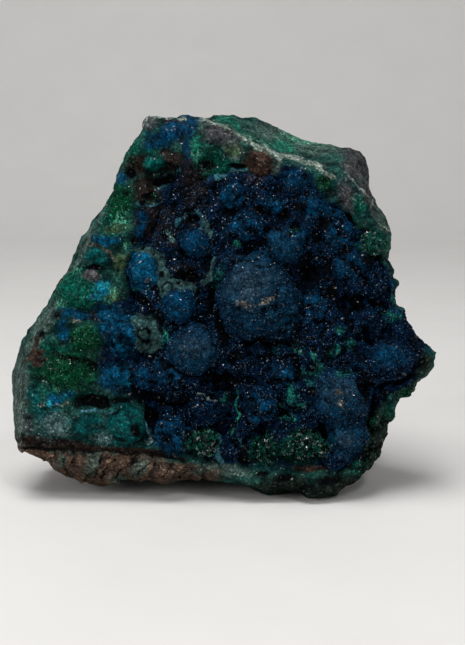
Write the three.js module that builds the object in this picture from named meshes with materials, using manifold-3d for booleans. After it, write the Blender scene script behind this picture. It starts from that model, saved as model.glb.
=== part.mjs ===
// A hand-sized cornetite specimen: a broken block of copper-stained host rock that stands on its flat
// broken base, with a crust of dark blue, ball-shaped cornetite grown in the shallow hollow of its front.
// Millimetres, +Z up, +X to the right and +Y away from whoever looks at the crusted front.
import * as THREE from "three";
import { mergeVertices } from "three/addons/utils/BufferGeometryUtils.js";
import { ImprovedNoise } from "three/addons/math/ImprovedNoise.js";
import Module from "manifold-3d";

const wasm = await Module();
wasm.setup();

// Driving dimensions of the block
const DEPTH = 57; // front face at the base to the rearmost point
const LEAN = 0.176; // the front face leans back this much for each millimetre of height
const FACE_CENTRE = { x: 0, z: 50 }; // middle of the front face
// Swells and chips of a broken surface, and where the noise for each axis starts
const ROUGHNESS = [
  { wave: 15, height: 1.5 },
  { wave: 6, height: 0.7 },
];
const NOISE_START = { x: 7.3, y: 3.1, z: 5.7 };
const SEAT_GAP = 0.4; // clearance between the crust and the rock it grew on
const FACET = 4.4; // size of a facet on a round lump
const BEYOND = 4 * DEPTH; // larger than the block any way, for the solids that cut it flat
const SAME_PLACE = 1e-4; // corners this close are one corner

// Silhouette of the block, clockwise from its top left corner: x, z, how far the edge lies behind the front
// face, and how far it stands outside the front face's own edge.
const OUTLINE = [
  [-22.6, 103.6, 6, 3],
  [-20.5, 104, 6, 3],
  [-16.5, 103, 7, 3],
  [-10.5, 104, 8, 2.5],
  [-6, 102.5, 9, 2.5],
  [-3, 103.5, 14, 3],
  [6.5, 102.5, 20, 5],
  [12.5, 100.5, 21, 7],
  [18, 98.4, 22, 7],
  [25, 97, 22, 8],
  [31.5, 96.2, 22, 9],
  [37, 96.8, 22, 10],
  [39.8, 95.3, 21, 9],
  [40.6, 89.5, 20, 7],
  [40.5, 84, 18, 6],
  [42.5, 79.5, 16, 5],
  [45, 75, 14, 4],
  [46.3, 71, 12, 2.5],
  [45, 68, 10, 2],
  [45.5, 64, 8, 1.5],
  [47.5, 57.5, 8, 1.5],
  [47.5, 53, 8, 1.5],
  [50, 48, 8, 2],
  [53.5, 43.5, 8, 3],
  [58.5, 38.6, 8, 3],
  [57, 34.5, 8, 4],
  [54, 31.5, 8, 4],
  [51.5, 28.5, 9, 4.5],
  [48, 24, 10, 5],
  [45.5, 18.3, 10, 5.5],
  [44.5, 13.3, 10, 5.5],
  [42.5, 8.5, 10, 5.5],
  [39, 4.5, 10, 5.5],
  [34, 1.8, 10, 5],
  [29.5, -1, 10, 5],
  [24, -1.5, 10, 5],
  [19.3, 0.7, 10, 5],
  [15.5, 0.7, 10, 4.5],
  [11, -0.3, 10, 5],
  [6.5, 2, 10, 4.5],
  [0, 3, 10, 4.5],
  [-9.8, 4.8, 10, 5],
  [-18, 3, 10, 6],
  [-27, 4.3, 10, 7],
  [-34.5, 2.3, 10, 9],
  [-39.5, 4, 10, 8],
  [-43.7, 5.8, 10, 7],
  [-47.5, 7, 10, 5.5],
  [-50.5, 10.2, 10, 3.5],
  [-57, 12.5, 10, 2.5],
  [-58.5, 20, 11, 4],
  [-58.8, 28, 12, 5],
  [-58.6, 32.5, 12, 5],
  [-56.8, 40.5, 12, 5],
  [-54.5, 45.3, 11, 4],
  [-50, 51, 10, 3],
  [-46.5, 56, 9, 2.5],
  [-43, 61.6, 8, 2.5],
  [-41.3, 66, 8, 3],
  [-40, 70.3, 8, 3],
  [-37, 73.8, 8, 2.5],
  [-33.8, 77, 7, 2],
  [-31.2, 82, 7, 2],
  [-29.8, 88, 6, 2],
  [-27.2, 93.3, 6, 2],
  [-23.8, 100, 6, 2.5],
];

// Rings of the loft: the share of the outline's size that each keeps
const FACE_RINGS = [0.9, 0.78, 0.62, 0.38];
const REAR_RINGS = [
  { size: 0.99, back: 0.2 },
  { size: 0.96, back: 0.45 },
  { size: 0.86, back: 0.75 },
  { size: 0.64, back: 0.95 },
  { size: 0.36, back: 1 },
];
const REAR_CENTRE_HEIGHT = 12;
// The underside dips under the floor, where it is cut flat, but starts to do so behind the front edge
const BASE_SINK = { depth: 9, below: 20, behind: 0.2 };

// Hollows of the front face, each filled in part by a bed of crust: x, z, half width, half height
const HOLLOWS = [
  [3, 67.5, 31, 24],
  [25, 60, 20.5, 23],
  [16, 32, 33, 26],
  [-10, 30, 19, 19],
  [-13, 56, 16, 19],
];
// The rim is the share of its size over which a hollow slopes, and it has no part deeper than its reach
const HOLLOW = { depth: 4.5, rim: 0.25, reach: 5.5 };
const BED = { out: -0.9, halfDepth: 8 }; // how far a bed's crown stands out of the face, and its thickness

// Flat faces where the back of the block broke: outward direction x, y, z and depth of the break
const BREAKS = [
  [0.1, 1, 0.12, 4],
  [0.62, 0.8, 0.05, 10],
  [-0.62, 0.8, 0.1, 10],
  [0.3, 0.85, 0.5, 8],
  [-0.4, 0.75, 0.55, 8],
  [-0.25, 0.85, -0.5, 9],
  [0.45, 0.65, -0.6, 9],
];

// Pits and grooves in the bare rock: x, z, half width, half height, depth
const PITS = [
  [-17, 88, 5.2, 4, 5.5],
  [-25, 88.6, 1.7, 1.7, 3],
  [-20, 82.5, 2.4, 3, 3],
  [-2.5, 92, 3.6, 4.4, 3],
  [-9.5, 77, 2.8, 2.2, 3.5],
  [-36, 27.5, 5.4, 2.3, 4],
  [-36.6, 37.6, 2.6, 2.2, 3],
  [-53, 22, 1.5, 1.5, 2],
  [-45, 50.5, 2, 1.5, 2],
];

// Rounded lumps of the rock and its green skin: x, z, half width, half height, how far they stand out
const KNOBS = [
  [-19.2, 90.3, 2.7, 2.5, -0.5],
  [10.2, 90.5, 4.6, 5, 1.2],
  [-34.8, 61.5, 3, 2.2, 1.4],
  [-37, 55.5, 9, 7.5, 1.8],
  [-35.5, 44.5, 7.5, 6.5, 1.8],
  [-43, 35, 9, 7.5, 1.8],
  [-29.5, 73, 5, 8, 1.2],
  [-27, 21, 9, 6, 1.4],
  [-44, 19.5, 8, 5, 1],
  [36, 79, 4.5, 9, 1],
  [40.5, 68.5, 4, 5, 1.5],
];
const KNOB_DEPTH = 9; // half thickness of a lump, most of it inside the rock

// Ledge where the front layer overhangs the bare rock of the lower left edge
const LEDGE = { from: [-60, 15.5], to: [8, 8], height: 1.6, reach: 7 };

// Cornetite balls: x, z, radius, how far the crown stands out of the front face
const BALLS = [
  [8.4, 54, 11.8, 8],
  [-8.9, 41.4, 7.3, 6],
  [-13.5, 52.6, 5.2, 4.2],
  [16.2, 69, 6.6, 4],
  [9.7, 65, 3.6, 3.8],
  [2.7, 82.6, 4.2, 2.4],
  [-8.6, 70, 4.4, 2],
  [6.8, 74.4, 5.2, 2.8],
  [0.6, 70, 5.2, 2.8],
  [0.5, 63, 5.4, 3.6],
  [10, 80, 4.4, 1.8],
  [16.7, 83.5, 4.4, 1.4],
  [21.5, 86, 3.6, 0.8],
  [23, 80, 5.2, 1.4],
  [27.5, 74.5, 4.8, 1],
  [21, 75, 4.8, 1.8],
  [32.4, 64, 5.2, 1.4],
  [38, 64.5, 4.6, 1],
  [40.3, 58.5, 4.8, 1.2],
  [45.6, 38.8, 7, 3.6],
  [40.4, 34.8, 3.6, 1.6],
  [31.6, 27.6, 8.2, 5.8],
  [28, 32.5, 4.6, 5],
  [36, 30.5, 4.6, 4.4],
  [33.2, 18.5, 6, 3.6],
  [29.7, 12.5, 4.8, 1.8],
  [9.5, 26.8, 5.4, 3],
  [-15.4, 20, 4, 1.6],
  [-11, 17, 3.8, 1.6],
  [-6.5, 25, 5.2, 1.8],
  [-15.4, 34.5, 4.8, 2.6],
  [-10, 33, 4.4, 2.8],
  [-21.5, 34.3, 3.8, 1.6],
  [-27.5, 35, 4.8, 1.6],
  [-26.5, 44, 4.8, 1.6],
  [-22.5, 62.5, 5, 1.8],
  [-16.5, 58.5, 4.6, 2.4],
  [-20.5, 54.5, 4.4, 1.8],
  [-23, 49, 4.4, 1.4],
  [-17.5, 46.5, 4.4, 1.8],
  [-6.8, 61.5, 4.8, 1.8],
  [-4, 76.5, 4.8, 1.6],
  [-16.5, 68.5, 4.6, 0.8],
  [25.7, 41.5, 4.6, 1.4],
  [23.2, 47, 4.8, 1.4],
  [36.5, 49.5, 5, 1],
  [42, 48.5, 4.8, 1.4],
  [46.5, 45.5, 4, 1.6],
  [20, 29.5, 4.8, 2],
  [21, 23.5, 4.4, 2.2],
  [15, 17.5, 5, 2.2],
  [21.5, 17, 4.6, 2],
  [4.5, 20, 4.4, 1],
  [6.5, 14.5, 4.2, 0.8],
  [0.5, 13.5, 4.2, 1.2],
  [-4.5, 16, 4.2, 1.4],
];

// Colours of the two minerals
const ROCK_FINISH = { color: 0x3d4a41, roughness: 0.9, metalness: 0 };
const CORNETITE_FINISH = { color: 0x0f2a4d, roughness: 0.55, metalness: 0 };

const noise = new ImprovedNoise();
const clamp = THREE.MathUtils.clamp;

// How far back the front face lies at a place, before and after its hollows
const facePlane = (z) => LEAN * z;
const within = (x, z, [cx, cz, rx, rz]) => Math.hypot((x - cx) / rx, (z - cz) / rz);
const hollowDepth = (x, z) =>
  HOLLOW.depth * Math.max(...HOLLOWS.map((h) => clamp((1 - within(x, z, h)) / HOLLOW.rim, 0, 1)));

// A closed geometry as a solid that can be cut and joined, and back again
function solidOf(geometry) {
  const bare = new THREE.BufferGeometry().setAttribute("position", geometry.getAttribute("position"));
  if (geometry.index) bare.setIndex(geometry.index);
  const { attributes, index } = mergeVertices(bare, SAME_PLACE);
  return new wasm.Manifold(
    new wasm.Mesh({
      numProp: 3,
      vertProperties: new Float32Array(attributes.position.array),
      triVerts: new Uint32Array(index.array),
    }),
  );
}

function meshOf(name, solid, finish) {
  const { vertProperties, triVerts } = solid.getMesh();
  const geometry = new THREE.BufferGeometry();
  geometry.setAttribute("position", new THREE.BufferAttribute(vertProperties, 3));
  geometry.setIndex(new THREE.BufferAttribute(triVerts, 1));
  geometry.computeVertexNormals();
  const mesh = new THREE.Mesh(geometry, new THREE.MeshStandardMaterial(finish));
  mesh.name = name;
  return mesh;
}

// A ball squeezed to an ellipsoid. Its detail follows its size, so that facets are alike.
function ellipsoid(x, y, z, rx, ry, rz) {
  const detail = clamp(Math.round((rx + rz) / 2 / FACET), 1, 4);
  const ball = new THREE.IcosahedronGeometry(1, detail);
  return solidOf(ball.scale(rx, ry, rz).translate(x, y, z));
}

// An ellipsoid seated in the front face so that its crown stands out of it by the given amount
const seated = ([x, z, rx, rz, out], ry) => ellipsoid(x, facePlane(z) - out + ry, z, rx, ry, rz);

// Moves every corner by smooth noise, the same way for corners that share a place. The hollows that the
// crust lines stay smooth.
function roughen(geometry) {
  const corners = geometry.getAttribute("position");
  const at = new THREE.Vector3();
  for (let i = 0; i < corners.count; i++) {
    at.fromBufferAttribute(corners, i);
    const { x, y, z } = at;
    const inHollow = y < facePlane(z) + HOLLOW.reach && hollowDepth(x, z) > 0;
    for (const { wave, height } of inHollow ? [] : ROUGHNESS) {
      const [a, b, c] = [x / wave, y / wave, z / wave];
      at.x += height * noise.noise(a + NOISE_START.x, b, c);
      at.y += height * noise.noise(a, b + NOISE_START.y, c);
      at.z += height * noise.noise(a, b, c + NOISE_START.z);
    }
    corners.setXYZ(i, at.x, at.y, at.z);
  }
  return geometry;
}

// Rings of the block from the front face's middle, over its edge and the silhouette, to the back
function blockRings() {
  const faceEdge = OUTLINE.map(([x, z, , bevel]) => {
    const toCentre = new THREE.Vector2(FACE_CENTRE.x - x, FACE_CENTRE.z - z).setLength(bevel);
    return new THREE.Vector2(x + toCentre.x, z + toCentre.y);
  });
  const onFace = (share) =>
    faceEdge.map((p) => {
      const x = FACE_CENTRE.x + (p.x - FACE_CENTRE.x) * share;
      const z = FACE_CENTRE.z + (p.y - FACE_CENTRE.z) * share;
      return new THREE.Vector3(x, facePlane(z) + hollowDepth(x, z), z);
    });
  const silhouette = OUTLINE.map(([x, z, behind]) => new THREE.Vector3(x, facePlane(z) + behind, z));
  const rear = REAR_RINGS.map(({ size, back }) =>
    silhouette.map((p) => {
      const sink = back > BASE_SINK.behind ? BASE_SINK.depth * clamp(1 - p.z / BASE_SINK.below, 0, 1) : 0;
      const y = THREE.MathUtils.lerp(p.y, DEPTH, back);
      return new THREE.Vector3(p.x * size, y, p.z * size - sink);
    }),
  );
  return [...FACE_RINGS.toReversed().map(onFace), onFace(1), silhouette, ...rear];
}

// A closed skin over the rings, with a point at each end
function loftGeometry(rings, first, last) {
  const corners = [];
  const addTriangle = (...points) => points.forEach((p) => corners.push(p.x, p.y, p.z));
  const count = rings[0].length;
  for (let i = 0; i < count; i++) {
    const j = (i + 1) % count;
    addTriangle(first, rings[0][j], rings[0][i]);
    for (let k = 0; k + 1 < rings.length; k++) {
      const [near, far] = [rings[k], rings[k + 1]];
      addTriangle(near[i], far[j], far[i]);
      addTriangle(near[i], near[j], far[j]);
    }
    addTriangle(last, rings.at(-1)[i], rings.at(-1)[j]);
  }
  const geometry = new THREE.BufferGeometry();
  return geometry.setAttribute("position", new THREE.Float32BufferAttribute(corners, 3));
}

// The thin undercut below the front layer's lower left edge
function ledgeCut() {
  const [from, to] = [new THREE.Vector2(...LEDGE.from), new THREE.Vector2(...LEDGE.to)];
  const along = to.clone().sub(from);
  const slot = new THREE.BoxGeometry(along.length(), LEDGE.reach, LEDGE.height);
  slot.rotateY(-along.angle());
  const middle = from.lerp(to, 0.5);
  return solidOf(slot.translate(middle.x, facePlane(middle.y), middle.y));
}

// Breaks a flat face off a solid, square to a direction and to a depth below its farthest point that way
function breakOff(solid, direction, depth) {
  const { vertProperties } = solid.getMesh();
  const corners = new THREE.BufferAttribute(vertProperties, 3);
  const at = new THREE.Vector3();
  let farthest = -Infinity;
  for (let i = 0; i < corners.count; i++) {
    farthest = Math.max(farthest, at.fromBufferAttribute(corners, i).dot(direction));
  }
  const turn = new THREE.Quaternion().setFromUnitVectors(new THREE.Vector3(0, 1, 0), direction);
  const waste = new THREE.BoxGeometry(BEYOND, BEYOND, BEYOND);
  waste.translate(0, farthest - depth + BEYOND / 2, 0);
  return solid.subtract(solidOf(waste.applyQuaternion(turn)));
}

// The space under the floor
function underFloor() {
  return solidOf(new THREE.BoxGeometry(BEYOND, BEYOND, BEYOND).translate(0, 0, -BEYOND / 2));
}

function hostRock() {
  const rings = blockRings();
  const middle = hollowDepth(FACE_CENTRE.x, FACE_CENTRE.z);
  const front = new THREE.Vector3(FACE_CENTRE.x, facePlane(FACE_CENTRE.z) + middle, FACE_CENTRE.z);
  const back = new THREE.Vector3(0, DEPTH, REAR_CENTRE_HEIGHT);
  let rock = solidOf(roughen(loftGeometry(rings, front, back)));
  for (const knob of KNOBS) rock = rock.add(seated(knob, KNOB_DEPTH));
  for (const [x, z, rx, rz, depth] of PITS) {
    rock = rock.subtract(ellipsoid(x, facePlane(z), z, rx, depth, rz));
  }
  for (const [x, y, z, depth] of BREAKS) {
    rock = breakOff(rock, new THREE.Vector3(x, y, z).normalize(), depth);
  }
  return rock.subtract(ledgeCut()).subtract(underFloor());
}

// The beds and balls joined, less the rock they sit on and its clearance, without the chips that come loose
function cornetiteCrust(rock) {
  const beds = HOLLOWS.map((hollow) => seated([...hollow, BED.out], BED.halfDepth));
  const balls = BALLS.map(([x, z, r, out]) => seated([x, z, r, r, out], r));
  const crust = [...beds, ...balls].reduce((whole, piece) => whole.add(piece));
  const seatedCrust = crust.subtract(rock).subtract(rock.translate([0, -SEAT_GAP, 0]));
  const [whole] = seatedCrust.decompose().sort((a, b) => b.volume() - a.volume());
  return whole;
}

const rock = hostRock();
const crust = cornetiteCrust(rock);

const specimen = new THREE.Group();
specimen.name = "cornetite_specimen";
specimen.add(meshOf("host_rock", rock, ROCK_FINISH));
specimen.add(meshOf("cornetite_crust", crust, CORNETITE_FINISH));

// The origin is the middle of the specimen's bounding box, at the floor
const box = new THREE.Box3().setFromObject(specimen);
const centre = box.getCenter(new THREE.Vector3());
for (const mesh of specimen.children) mesh.position.set(-centre.x, -centre.y, -box.min.z);

export default specimen;
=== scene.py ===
import math

import bmesh
import bpy
import numpy as np
from mathutils import Matrix, Vector, noise
from mathutils.bvhtree import BVHTree


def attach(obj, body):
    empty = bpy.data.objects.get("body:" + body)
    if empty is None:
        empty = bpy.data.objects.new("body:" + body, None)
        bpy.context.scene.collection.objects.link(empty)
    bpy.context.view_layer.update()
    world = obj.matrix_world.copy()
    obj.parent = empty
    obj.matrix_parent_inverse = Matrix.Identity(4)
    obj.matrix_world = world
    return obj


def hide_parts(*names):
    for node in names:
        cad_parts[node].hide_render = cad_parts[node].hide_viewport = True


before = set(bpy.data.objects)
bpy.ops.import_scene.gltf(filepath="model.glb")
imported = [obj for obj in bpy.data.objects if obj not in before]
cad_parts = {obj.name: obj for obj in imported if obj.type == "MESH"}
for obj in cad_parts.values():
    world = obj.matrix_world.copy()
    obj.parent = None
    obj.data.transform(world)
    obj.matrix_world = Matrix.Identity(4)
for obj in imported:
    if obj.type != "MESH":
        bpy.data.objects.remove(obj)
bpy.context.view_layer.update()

# A cornetite specimen: broken, copper-stained rock with a crust of dark blue cornetite balls under a druse
# of tiny crystals. Lengths are in metres, and MM turns millimetres into them.
MM = 0.001

# The photograph's frame in pixels and the camera that sees the specimen as it does
FRAME_WIDTH, FRAME_HEIGHT = 465, 645
LENS, SENSOR = 78.6, 36
LOOK_AT = np.array([2.5, -20, 48.7]) * MM
LOOK_DOWN = math.radians(10)
CAMERA_AWAY = 380 * MM
RIGHT = np.array([1, 0, 0])
FORWARD = np.array([0, math.cos(LOOK_DOWN), -math.sin(LOOK_DOWN)])
UP = np.array([0, math.sin(LOOK_DOWN), math.cos(LOOK_DOWN)])
CAMERA_PLACE = LOOK_AT - CAMERA_AWAY * FORWARD

# Fineness of the two surfaces. The rock's shown faces are halved once more.
ROCK_VOXEL = 0.89 * MM
CRUST_VOXEL = 0.46 * MM

# Patches of mineral, and of painted shade and painted sheen, where the photograph shows them: u, v, half
# width and half height in its pixels, and a turn in degrees clockwise. Rock and crust share them, so that a
# patch runs on from one to the other.
PATCHES = {
    "umber": [(195, 186, 15, 26, 0), (157, 222, 19, 18, 0), (172, 236, 8, 12, 0), (184, 272, 12, 8, 0)],
    "rim": [
        (20, 400, 9, 46, 0), (42, 328, 8, 36, 30), (70, 274, 5, 24, 32), (86, 244, 6, 19, 24),
        (104, 214, 4, 16, 25), (300, 140, 46, 12, 12), (374, 205, 6, 26, -22), (234, 151, 11, 6, 10),
        (275, 168, 7, 7, 0), (376, 440, 9, 26, 10), (225, 470, 28, 6, 8),
    ],
    "teal": [
        (97, 256, 14, 9, 0), (34, 394, 7, 10, 0), (125, 424, 20, 22, 0), (350, 196, 16, 22, -20),
        (60, 392, 18, 10, 0), (86, 424, 18, 9, 0), (428, 350, 6, 14, -30), (392, 300, 7, 26, -12),
        (45, 412, 14, 8, 0),
    ],
    "malachite": [
        (131, 155, 10, 15, 20), (157, 149, 12, 6, 0), (116, 212, 12, 24, 24), (78, 292, 22, 20, 0),
        (198, 142, 4, 14, 0), (209, 165, 20, 17, 0), (358, 203, 10, 9, 0), (388, 420, 7, 14, 20),
        (365, 468, 12, 10, 0), (55, 350, 14, 10, 0), (372, 419, 6, 6, 0), (382, 432, 5, 8, 10),
        (369, 441, 5, 7, 0), (379, 455, 6, 7, 0),
    ],
    "green_field": [
        (66, 372, 31, 21, 0), (86, 338, 17, 14, 0), (121, 203, 11, 18, 24), (325, 181, 8, 8, 0),
        (408, 392, 8, 5, -40), (154, 197, 5, 5, 0),
    ],
    "leaf": [
        (230, 123, 12, 4, 28), (246, 136, 15, 4, 40), (262, 147, 9, 4, 30), (284, 146, 14, 4, 18),
        (196, 150, 3, 16, 0),
    ],
    "mint": [
        (118, 222, 14, 16, 0), (108, 300, 9, 6, 0), (113, 291, 7, 9, 0), (127, 247, 7, 7, 0),
        (78, 270, 5, 8, 30), (60, 306, 6, 10, 30), (148, 443, 6, 5, 0), (60, 389, 22, 8, 0),
        (80, 330, 8, 5, 0), (300, 140, 40, 9, 12),
    ],
    "olive": [(121, 263, 9, 10, 0), (112, 296, 8, 7, 0), (232, 148, 10, 6, 15), (115, 229, 12, 5, -10)],
    "brown": [
        (173, 122, 9, 2.5, 0), (258, 165, 14, 17, 0), (35, 356, 12, 5, -30), (36, 344, 3, 10, 28),
        (310, 468, 18, 3, 0), (40, 362, 8, 3, -30), (92, 317, 6, 4, 0),
    ],
    "tan": [
        (43, 405, 6, 2.5, 0), (64, 403, 8, 2, -15), (76, 320, 5, 3, 0), (149, 280, 4, 4, 0),
        (246, 304, 9, 4, 5), (266, 302, 10, 4, -20), (313, 391, 4, 3, 0), (340, 391, 6, 3, 30),
        (342, 404, 3, 6, 0),
    ],
    "pebble": [(92, 275, 8.5, 7, 0)],
    "moss": [
        (285, 487, 36, 11, 0), (330, 486, 30, 11, -10), (376, 445, 14, 34, 14), (425, 364, 7, 14, 35),
    ],
    "vug": [(169, 160, 14, 12, 0), (138, 165, 13, 9, 0), (146, 190, 13, 15, 0), (194, 220, 10, 7, 0)],
    "disc": [(155, 165, 11, 8, 0)],
    "ledge": [(60, 444, 48, 5, 6), (128, 452, 44, 4, 5)],
    "matrix": [
        (75, 466, 44, 14, 8), (130, 470, 56, 15, 4), (185, 473, 34, 10, 6), (98, 479, 36, 10, 5),
        (36, 453, 22, 6, 12),
    ],
    "grey_vein": [
        (92, 464, 7, 13, 25), (140, 468, 6, 12, 40), (118, 478, 10, 5, 0), (200, 470, 12, 5, 0),
        (62, 460, 4, 8, 10),
    ],
    "slate": [
        (356, 164, 13, 20, -10), (366, 192, 7, 16, -22), (221, 135, 20, 10, 14), (346, 196, 9, 16, -15),
        (29, 424, 6, 9, 0), (148, 123, 9, 6, 0),
    ],
    "azure": [
        (122, 179, 6, 5, 0), (76, 315, 17, 4, 10), (64, 330, 5, 9, 0), (107, 318, 10, 14, 0),
        (124, 334, 12, 18, 0), (118, 376, 15, 12, 0), (55, 400, 6, 5, 0), (67, 393, 7, 4, 0),
        (105, 241, 11, 4, 0), (144, 271, 14, 19, 0),
    ],
    "bright_blue": [
        (160, 139, 14, 9, -25), (177, 130, 14, 9, -15), (390, 357, 13, 9, 0), (193, 243, 10, 8, 0),
        (175, 306, 15, 12, 0), (146, 376, 8, 7, 0), (260, 405, 11, 9, 0), (233, 196, 11, 11, 0),
        (190, 126, 7, 12, 0), (186, 146, 4, 8, 0), (170, 374, 14, 7, 0), (300, 240, 8, 12, 0),
        (262, 262, 9, 8, 0), (273, 205, 10, 6, 0), (346, 440, 12, 14, 0), (170, 436, 13, 16, 0),
        (298, 180, 12, 9, 0), (318, 208, 14, 11, 0), (340, 236, 11, 10, 0), (352, 264, 13, 9, 0),
        (245, 228, 14, 10, 0), (285, 375, 11, 8, 0), (312, 306, 8, 12, 0), (330, 216, 8, 9, 0),
        (142, 224, 4, 13, 0),
    ],
    "steel": [
        (256, 300, 32, 34, 0), (192, 352, 22, 20, 0), (342, 398, 24, 24, 0), (285, 247, 16, 14, 0),
        (250, 272, 20, 14, 0), (346, 440, 14, 16, 0), (285, 316, 18, 18, 0),
    ],
    "cyan": [
        (103, 287, 9, 8, 0), (94, 297, 7, 5, 0), (52, 405, 3, 3, 0), (127, 385, 3, 3, 0),
        (137, 320, 4, 5, 0),
    ],
    "verdigris": [
        (338, 331, 6, 4, 0), (335, 350, 5, 9, 15), (329, 353, 5, 6, 0), (313, 356, 4, 7, 0),
        (303, 371, 6, 6, 0), (316, 370, 8, 9, 40), (310, 383, 5, 5, 0), (292, 395, 6, 10, 0),
        (302, 406, 6, 5, 0), (279, 406, 5, 4, 0), (286, 418, 8, 8, 30), (294, 420, 4, 3, 0),
        (344, 373, 7, 5, 0), (350, 345, 5, 5, 0), (277, 347, 6, 6, 0), (298, 349, 6, 7, 0),
        (213, 286, 5, 6, 0), (212, 302, 4, 5, 0), (156, 317, 5, 4, 0), (166, 337, 5, 10, 0),
        (136, 290, 5, 5, 0), (219, 278, 5, 10, 20), (390, 315, 9, 5, 20), (238, 245, 6, 4, 0),
        (226, 398, 7, 6, 0), (295, 232, 5, 4, 0), (398, 300, 5, 10, -15),
    ],
    "green_druse": [
        (202, 443, 17, 14, 0), (264, 451, 15, 17, 0), (304, 447, 27, 17, -10), (372, 244, 15, 12, 0),
    ],
    "frost": [
        (54, 426, 20, 16, -20), (104, 438, 10, 9, 0), (30, 423, 5, 8, 0), (149, 443, 5, 4, 0),
        (212, 250, 3, 5, 0), (98, 275, 5, 3, 0), (147, 200, 2.5, 5, -20),
    ],
    # A grey painted sheen on the tops of the balls, where the light from above falls
    "painted_top_sheen": [(250, 285, 26, 26, 0), (192, 346, 18, 14, 0), (340, 392, 18, 16, 0), (346, 440, 10, 10, 0)],
    # Painted shade: near-black patches in the pits and hollows, between the balls and under them
    "dark": [
        (164, 182, 13, 5, -15), (132, 174, 5, 5.5, 0), (136, 240, 4, 4, 0), (375, 429, 4, 5, 0),
        (372, 449, 4, 4, 0), (384, 423, 4, 4, 0), (366, 459, 6, 5, 0), (388, 437, 3, 4, 0),
        (361, 471, 6, 4, 0), (378, 466, 4, 4, 0), (147, 194, 7, 3, -15), (144, 202, 5, 4, 0),
        (94, 403, 18, 6, 0), (86, 399, 8, 6, -25), (106, 401, 8, 7, 20), (122, 400, 12, 3, 0),
        (152, 412, 9, 14, 0), (238, 166, 8, 3, 0), (207, 164, 7, 9, 0), (43, 334, 4, 4, 0),
        (92, 365, 6, 4, 0), (74, 359, 20, 2.5, 14), (307, 274, 16, 16, 0), (355, 303, 22, 9, 0),
        (268, 343, 36, 6, 4), (222, 380, 22, 12, 0), (172, 402, 20, 7, 0), (366, 388, 7, 20, -20),
        (190, 276, 9, 9, 0), (141, 300, 12, 6, 45), (152, 313, 10, 5, 50), (222, 330, 6, 20, -10),
        (244, 455, 7, 10, 0), (300, 208, 5, 5, 0), (330, 268, 8, 6, 0), (188, 222, 5, 4, 0),
        (94, 267, 11, 2.5, 0), (421, 364, 4, 7, 30), (415, 338, 4, 4, 30), (285, 478, 9, 4, 0),
        (330, 480, 11, 5, 0), (352, 486, 7, 4, 0), (262, 474, 7, 3, 0), (306, 488, 8, 4, 0),
        (212, 300, 5, 14, 0), (372, 258, 11, 4, 0), (118, 415, 4, 3, 0), (133, 428, 4, 6, 0),
        (121, 437, 6, 3, 0), (140, 436, 3, 5, 0), (160, 318, 6, 8, 0), (160, 273, 2.5, 3.5, 0),
        (177, 284, 3, 2, 0), (228, 212, 8, 5, 0), (258, 212, 8, 4, 0), (286, 215, 7, 5, 0),
        (326, 225, 6, 8, 0), (330, 292, 8, 8, 0), (368, 262, 6, 5, 0), (150, 396, 22, 5, 5),
        (186, 398, 10, 6, 0), (236, 356, 10, 6, 0),
    ],
}

# The outline of the dark blue druse in the photograph's pixels
BLUE_AREA = [
    (200, 186), (217, 181), (228, 174), (240, 170), (258, 182), (275, 176), (284, 163), (306, 168),
    (318, 190), (338, 206), (352, 226), (362, 258), (386, 262), (402, 300), (412, 322), (432, 350),
    (416, 384), (392, 398), (380, 408), (366, 412), (366, 440), (362, 458), (340, 470), (300, 468),
    (262, 470), (236, 464), (200, 458), (160, 452), (146, 436), (144, 402), (112, 392), (100, 384),
    (98, 362), (106, 344), (98, 318), (100, 304), (126, 296), (131, 256), (137, 240), (136, 212),
    (150, 205), (160, 190), (180, 172), (182, 150), (194, 156),
]

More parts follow.
